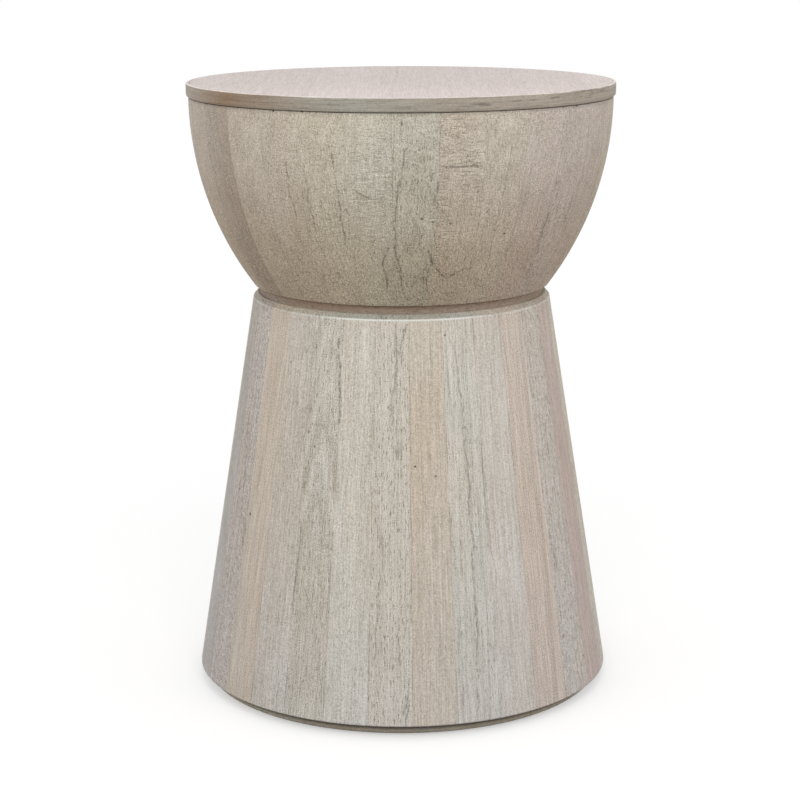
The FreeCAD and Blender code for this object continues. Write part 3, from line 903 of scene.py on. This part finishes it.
boardLook = {**limed, "cool": (1.10, 1.10, 1.115), "coolSpan": (-0.185, -0.02), "bareShare": 0.15,
             "ringTone": 0.24, "fibreTone": 0.5, "speckTone": 0.45, "dashTone": 0.40,
             "speckHeight": 0.25 * mm}
boardFinish = woodFinish("limedLidBoards", boardLook)
lidTop = lidBoards()
lidTop.data.materials.append(boardFinish)
dress(lidTop, boards, boardTints)
softenEdges(lidTop, boards["softEdge"])
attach(lidTop, "lid")
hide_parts(*[f"lid_board_{n}" for n in range(1, boards["count"] + 1)])
print("lid boards:", len(lidTop.data.polygons), "faces")


# neck, plinth and the wood inside: the CAD shapes with their own finishes

neckTop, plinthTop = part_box("neck_collar")[1].z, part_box("plinth_disc")[1].z
turnedLook = {**limed, "bareShare": 0.6, "speckTone": 0.6, "speckHeight": 0.30 * mm}
neckLook = {**turnedLook, "cool": (0.98, 1.06, 1.12),
            "coolSpan": (neckTop - 6.5 * mm, neckTop - 2.0 * mm),
            # painted shade at the neck's top, under the bowl's foot
            "paintedShades": ((neckTop - 3.5 * mm, neckTop - 0.8 * mm, 0.72),)}
# painted shade on the plinth's top, under the cone's foot
plinthLook = {**turnedLook, "paintedShades": ((plinthTop - 6.6 * mm, plinthTop - 2.8 * mm, 0.24),)}
planedLook = {
    **limed, "bareShare": 0.25, "ringTone": 0.9, "speckTone": 0.35, "dashTone": 0.35, "poreTone": 0.35,
    "dashHeight": 0.10 * mm, "speckHeight": 0.10 * mm, "roughness": 0.6,
}
solidPieces = {  # node: look, tint, grain and the heart of its log
    "neck_collar": (neckLook, paint(176, 154, 136), "X", (0.15, 0.03, 0.04)),
    "plinth_disc": (plinthLook, paint(202, 192, 176), "X", (0.10, -0.05, 0.03)),
    "bowl_floor": (planedLook, paint(206, 184, 154), "Y", (0.42, 0.02, 0.05)),
    "cone_top_former": (planedLook, paint(201, 177, 145), "X", (0.40, -0.03, 0.06)),
    "cone_foot_former": (planedLook, paint(203, 180, 149), "X", (0.08, 0.04, 0.05)),
    "lid_batten_front": (planedLook, paint(205, 182, 151), "X", (0.58, -0.06, 0.04)),
    "lid_batten_rear": (planedLook, paint(199, 174, 141), "X", (0.60, 0.09, -0.05)),
}
solidFigure = (0.4, 0.3, 0.9)
for number, (node, (look, tint, along, heart)) in enumerate(solidPieces.items()):
    own = {"seed": number + 0.5, "tint": tint, "along": along, "heart": heart, "figure": solidFigure}
    finish = woodFinish(node + "Wood", look, own)
    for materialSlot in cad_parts[node].material_slots:
        materialSlot.material = finish
print("solid pieces finished:", len(solidPieces))


# screws and pads, set out by Geometry Nodes

zincLook = {
    "cloud": (900, 900, 900),  # pattern sizes per metre
    "scratch": (2600, 400, 2600),
    "dull": paint(178, 180, 182),
    "bright": paint(206, 206, 203),
    "roughness": 0.34,
    "cloudRough": 0.3,
    "scratchRough": 0.2,
    "scratchHeight": 0.02 * mm,
}
feltLook = {
    "fuzz": (2200, 2200, 1500),
    "clump": (420, 420, 420),
    "dark": paint(112, 106, 99),
    "pale": paint(164, 157, 148),
    "clumped": paint(126, 119, 111),
    "clumpShare": 0.4,
    "roughness": 0.95,
    "fuzzRough": 0.1,
    "fuzzHeight": 0.25 * mm,
}


def zincFinish():
    material = blankMaterial("zincPlate")
    place = objectPlace()
    cloud = noise(place, zincLook["cloud"], detail=3.0)
    scratch = noise(place, zincLook["scratch"])
    colour = mixPaint(cloud, zincLook["dull"], zincLook["bright"])
    roughness = total(zincLook["roughness"], swing(cloud, zincLook["cloudRough"]),
                      swing(scratch, zincLook["scratchRough"]))
    finishMaterial(colour, roughness, swing(scratch, zincLook["scratchHeight"]),
                   specular=0.5, metallic=1.0)
    return material


def feltFinish():
    material = blankMaterial("pressedFelt")
    place = objectPlace()
    fuzz = noise(place, feltLook["fuzz"], detail=3.0, twist=1.5)
    clump = noise(place, feltLook["clump"])
    colour = mixPaint(fuzz, feltLook["dark"], feltLook["pale"])
    colour = mixPaint(product(clump, feltLook["clumpShare"]), colour, feltLook["clumped"])
    roughness = total(feltLook["roughness"], swing(fuzz, feltLook["fuzzRough"]))
    finishMaterial(colour, roughness, swing(fuzz, feltLook["fuzzHeight"]), specular=0.1)
    return material


def setOutTree(name, sockets, pattern):  # copies of one part on a pattern's points, each turned its own way
    given = newTree(name, {"Part": "Object", **sockets, "Height": "Float", "Seed": "Int", "Finish": "Material"})
    places = made(pattern, {label: given[label] for label in sockets})
    up = joined(Z=given["Height"])
    places = made("GeometryNodeSetPosition", {"Geometry": places, "Offset": up})
    part = put("GeometryNodeObjectInfo", {"Object": given["Part"]}).outputs["Geometry"]
    limits = {2: 0.0, 3: math.pi, "Seed": given["Seed"]}
    turn = put("FunctionNodeRandomValue", limits, data_type="FLOAT").outputs[1]
    return closeTree(copiesOf(part, places, turn), given["Finish"])


screw = {
    "steps": 36,
    "armLength": 0.52,  # shares of the head's radius
    "armWidth": 0.13,
    "recess": 0.40,
    "rim": 0.06,
    "recessTaper": 0.7,  # its floor over its mouth
    "tip": 1.6,  # length of the point over the shank's radius
    "tipWidth": 0.06,  # its radius over the shank's width
}


def screwPart(name, head, shank, length, up):  # its head's face at the origin
    shape = bmesh.new()
    steps, radius = screw["steps"], head / 2
    sink = radius - shank / 2
    point = shank / 2 * screw["tip"]
    turned = ((radius, 0), (radius, screw["rim"] * radius), (shank / 2, sink), (shank / 2, length - point),
              (shank * screw["tipWidth"], length))
    rings = [ringOf(shape, across, -depth, steps) for across, depth in turned]
    joinRings(shape, rings)
    shape.faces.new(rings[-1])
    arm, wide = screw["armLength"] * radius, screw["armWidth"] * radius
    corner = [(wide, wide), (wide, arm), (-wide, arm)]
    cross = [Matrix.Rotation(math.pi / 2 * quarter, 2) @ Vector(place) for quarter in range(4) for place in corner]
    lip = [shape.verts.new((x, y, 0)) for x, y in cross]
    taper, floor = screw["recessTaper"], -screw["recess"] * radius
    deep = [shape.verts.new((taper * x, taper * y, floor)) for x, y in cross]
    joinRings(shape, [lip, deep])
    shape.faces.new(deep)
    share = steps // len(lip)
    offset = round(math.atan2(wide, wide) / math.tau * steps)
    for k in range(len(lip)):
        rim = [rings[0][(offset + share * k + j) % steps] for j in range(share + 1)]
        shape.faces.new([lip[k], *rim, lip[(k + 1) % len(lip)]])
    if not up:
        bmesh.ops.scale(shape, vec=(1, -1, -1), verts=shape.verts)
    return newPiece(name, shape)


pad = {
    "steps": 48,
    "count": 4,
    "radius": 12 * mm,
    "edge": ((0.86, 0.0), (0.96, 0.12), (1.0, 0.5), (0.96, 0.88), (0.86, 1.0)),  # shares of radius and thickness
}


def padPart(radius, thick):
    shape = bmesh.new()
    rings = [ringOf(shape, across * radius, up * thick, pad["steps"]) for across, up in pad["edge"]]
    joinRings(shape, rings)
    shape.faces.new(rings[0])
    shape.faces.new(rings[-1])
    return newPiece("padPart", shape)


ringSockets = {"Vertices": "Int", "Radius": "Float"}
rowSockets = {"Vertices X": "Int", "Vertices Y": "Int", "Size X": "Float", "Size Y": "Float"}
ringOfParts = setOutTree("ringOfParts", ringSockets, "GeometryNodeMeshCircle")
rowsOfParts = setOutTree("rowsOfParts", rowSockets, "GeometryNodeMeshGrid")
zinc, felt = zincFinish(), feltFinish()
screwSets = {  # head and shank across, heads up, and the pattern
    "neck_screws": {"piece": "neckScrews", "head": 12, "shank": 6, "up": True, "count": 6, "seed": 5},
    "plinth_screws": {"piece": "plinthScrews", "head": 10, "shank": 5, "up": False, "count": 6, "seed": 6},
    "lid_batten_screws": {"piece": "battenScrews", "head": 7, "shank": 3.5, "up": False,
                          "columns": 5, "rows": 2, "seed": 7},
}
for node, kind in screwSets.items():
    low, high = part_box(node)
    head = kind["head"] * mm
    part = screwPart(node + "Part", head, kind["shank"] * mm, high.z - low.z, kind["up"])
    sizes = {"Part": part, "Height": high.z if kind["up"] else low.z, "Seed": kind["seed"], "Finish": zinc}
    if "count" in kind:
        spread = {"Vertices": kind["count"], "Radius": high.x - head / 2}
    else:
        spread = {"Vertices X": kind["columns"], "Vertices Y": kind["rows"],
                  "Size X": high.x - low.x - head, "Size Y": high.y - low.y - head}
    screws = grown(kind["piece"], ringOfParts if "count" in kind else rowsOfParts, {**sizes, **spread})
    bpy.data.objects.remove(part)
    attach(screws, "lid" if node.startswith("lid") else "drum")
    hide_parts(node)
padLow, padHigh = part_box("floor_pads")
part = padPart(pad["radius"], padHigh.z - padLow.z)
floorPads = grown("floorPads", ringOfParts, {
    "Part": part, "Height": padLow.z, "Seed": 2, "Finish": felt, "Vertices": pad["count"],
    "Radius": padHigh.x - pad["radius"]})
bpy.data.objects.remove(part)
floorPads.data.shade_smooth()
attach(floorPads, "drum")
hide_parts("floor_pads")
print("screws and pads set out")


# floor, backdrop and light

stage = {
    "floorRadius": 3.0,
    "floorSteps": 96,
    "shadow": (0.55, 0.9),  # between these distances the shadow fades into plain white
    "shown": 0.62,
    "lift": 0.46,
    "bounce": 0.3,
    "world": 0.82,
}


def grey(level):
    return (level, level, level, 1)


def whiteFloor():
    material = blankMaterial("paleFloor")
    far = fade(measure("LENGTH", objectPlace()), *stage["shadow"])
    lit = made("ShaderNodeBsdfDiffuse", {"Color": grey(stage["shown"])})
    lift = made("ShaderNodeEmission", {"Strength": stage["lift"]})
    near = made("ShaderNodeAddShader", {0: lit, 1: lift})
    white = made("ShaderNodeEmission", {"Strength": 1.0})
    shown = made("ShaderNodeMixShader", {0: far, 1: near, 2: white})
    bounce = made("ShaderNodeBsdfDiffuse", {"Color": grey(stage["bounce"])})
    both = made("ShaderNodeMixShader", {0: seenRays(), 1: bounce, 2: shown})
    put("ShaderNodeOutputMaterial", {"Surface": both})
    return material


floorShape = bmesh.new()
bmesh.ops.create_circle(floorShape, cap_ends=True, radius=stage["floorRadius"], segments=stage["floorSteps"])
floor = newPiece("floor", floorShape)
floor.data.materials.append(whiteFloor())

world = bpy.data.worlds.new("studio")
world.use_nodes = True
startTree(world.node_tree)
level = total(stage["world"], product(seenRays(), 1 - stage["world"]))
backdrop = made("ShaderNodeBackground", {"Color": grey(1), "Strength": level})
put("ShaderNodeOutputWorld", {"Surface": backdrop})
scene.world = world

key = {"place": Vector((0.1, -1.7, 2.05)), "target": Vector((0, 0, 0.3)), "across": 1.4, "watts": 14}
lampData = bpy.data.lights.new("key", "AREA")
lampData.shape = "DISK"
lampData.size = key["across"]
lampData.energy = key["watts"]
lamp = linked("key", lampData)
lamp.location = key["place"]
lamp.rotation_euler = (key["target"] - key["place"]).to_track_quat("-Z", "Y").to_euler()
print("stage and lamp set")
